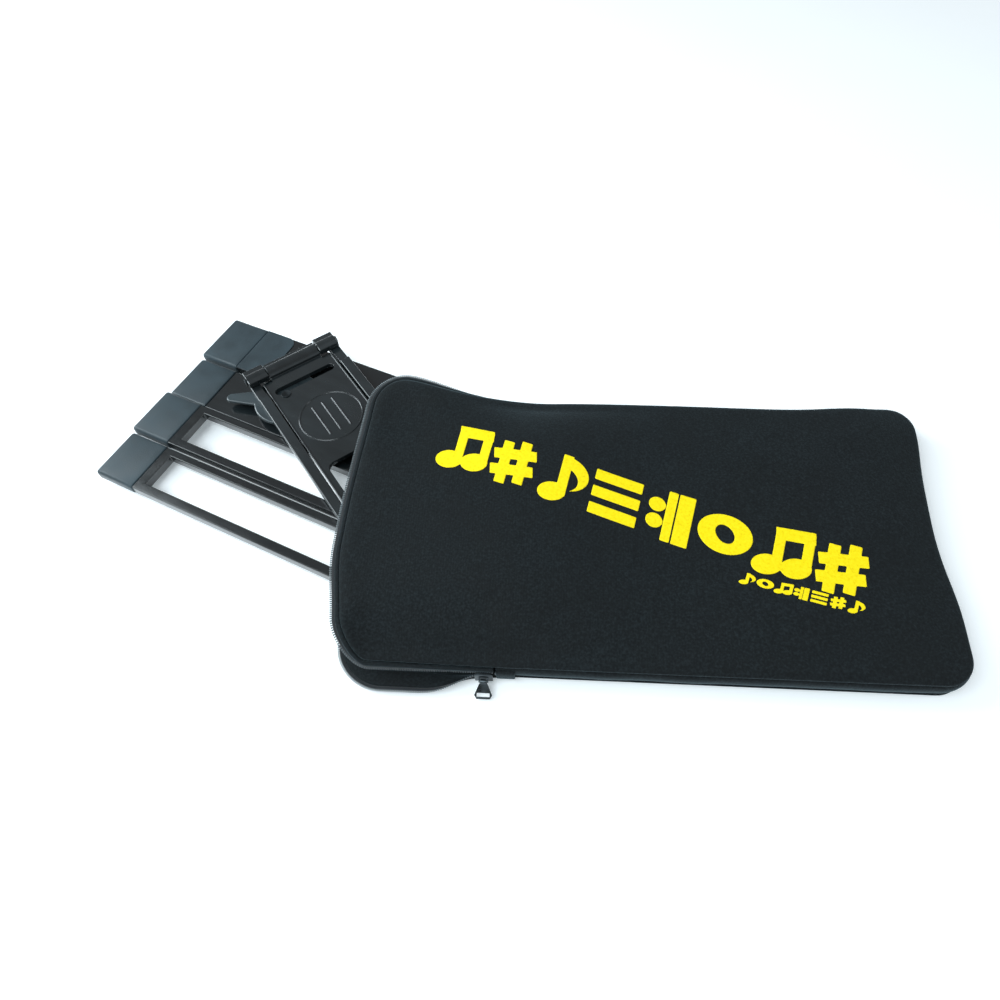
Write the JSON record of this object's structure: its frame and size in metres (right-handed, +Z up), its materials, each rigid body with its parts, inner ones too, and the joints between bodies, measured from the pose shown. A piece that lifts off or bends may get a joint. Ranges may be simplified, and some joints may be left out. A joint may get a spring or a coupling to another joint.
{
  "type": "folding music stand",
  "caption": "Compact folding music stand: slats that fan out and a prop leg bracket, half drawn out of its zipped padded carrying bag.",
  "frame": {"origin": "middle of the bag's underside, on the surface it lies on", "axes": "+X along the folded slats from their free ends towards their pivots, +Z up"},
  "size_m": [0.6392, 0.3616, 0.0362],
  "materials": {
    "neoprene": "padded knit-faced neoprene",
    "binding": "woven piping and binding",
    "zip_tape": "woven tape",
    "zip_teeth": "moulded coil",
    "zip_metal": "gunmetal lacquer",
    "slat_plastic": "glossy moulded",
    "cap_rubber": "soft matte",
    "bracket_plastic": "glossy moulded",
    "steel": "bright",
    "washer_nylon": "natural nylon",
    "foot_rubber": "soft matte"
  },
  "bodies": {
    "bag": {"bag_base_panel": "neoprene", "bag_side_wall": "neoprene", "bag_top_panel": "neoprene", "base_binding": "binding", "top_seam_piping": "binding", "mouth_piping": "binding", "upper_zip_tape": "zip_tape", "upper_zip_teeth": "zip_teeth", "lower_zip_tape": "zip_tape", "lower_zip_teeth": "zip_teeth", "zip_end_tabs": "binding", "zip_stops": "zip_metal"},
    "slider": {"zip_slider": "zip_metal"},
    "pull": {"zip_pull": "zip_metal"},
    "desk_base": {"slat_d": "slat_plastic", "cap_d": "cap_rubber", "slat_pad": "cap_rubber", "rivet_cd": "steel", "washer_cd": "washer_nylon", "cross_strap": "slat_plastic", "strap_screws": "steel", "swivel_pin": "steel", "swivel_washer": "washer_nylon"},
    "third_slat": {"slat_c": "slat_plastic", "cap_c": "cap_rubber", "rivet_bc": "steel", "washer_bc": "washer_nylon"},
    "second_slat": {"slat_b": "slat_plastic", "cap_b": "cap_rubber", "rivet_ab": "steel", "washer_ab": "washer_nylon"},
    "first_slat": {"slat_a": "slat_plastic", "cap_a": "cap_rubber"},
    "bracket": {"bracket_plate": "bracket_plastic", "hinge_pin": "steel", "pin_circlips": "steel", "finger_pin": "steel"},
    "leg": {"prop_leg": "bracket_plastic", "leg_foot": "foot_rubber"},
    "finger": {"page_finger": "bracket_plastic"}
  },
  "joints": [
    {"name": "stand_withdraw", "type": "slide", "parent": "bag", "child": "desk_base", "axis": [-1, 0, 0], "range_m": [0, 0.25], "deforming": ["bag_top_panel", "mouth_piping", "upper_zip_tape", "upper_zip_teeth"]},
    {"name": "third_slat_swing", "type": "hinge", "parent": "desk_base", "child": "third_slat", "pos_m": [-0.055, 0.0075, 0.014], "axis": [0, 0, 1], "range_deg": [0, 13]},
    {"name": "second_slat_swing", "type": "hinge", "parent": "third_slat", "child": "second_slat", "pos_m": [-0.055, -0.038, 0.014], "axis": [0, 0, 1], "range_deg": [0, 22]},
    {"name": "first_slat_swing", "type": "hinge", "parent": "second_slat", "child": "first_slat", "pos_m": [-0.055, -0.0835, 0.014], "axis": [0, 0, 1], "range_deg": [0, 26]},
    {"name": "bracket_swivel", "type": "hinge", "parent": "desk_base", "child": "bracket", "pos_m": [-0.14769, -0.07054, 0.0246], "axis": [0, 0, 1], "range_deg": [-12, 30]},
    {"name": "leg_open", "type": "hinge", "parent": "bracket", "child": "leg", "pos_m": [-0.3228, 0.02813, 0.0276], "axis": [-0.4909, -0.8712, 0], "range_deg": [0, 62]},
    {"name": "finger_swing", "type": "hinge", "parent": "bracket", "child": "finger", "pos_m": [-0.30561, -0.00451, 0.0208], "axis": [0, 0, 1], "range_deg": [-60, 35]},
    {"name": "slider_run", "type": "slide", "parent": "bag", "child": "slider", "axis": [-0.9205, -0.3907, 0], "range_m": [0, 0.03]},
    {"name": "pull_flip", "type": "hinge", "parent": "slider", "child": "pull", "pos_m": [-0.05293, -0.15044, 0.0096], "axis": [-0.9205, -0.3907, 0], "range_deg": [0, 125]}
  ]
}
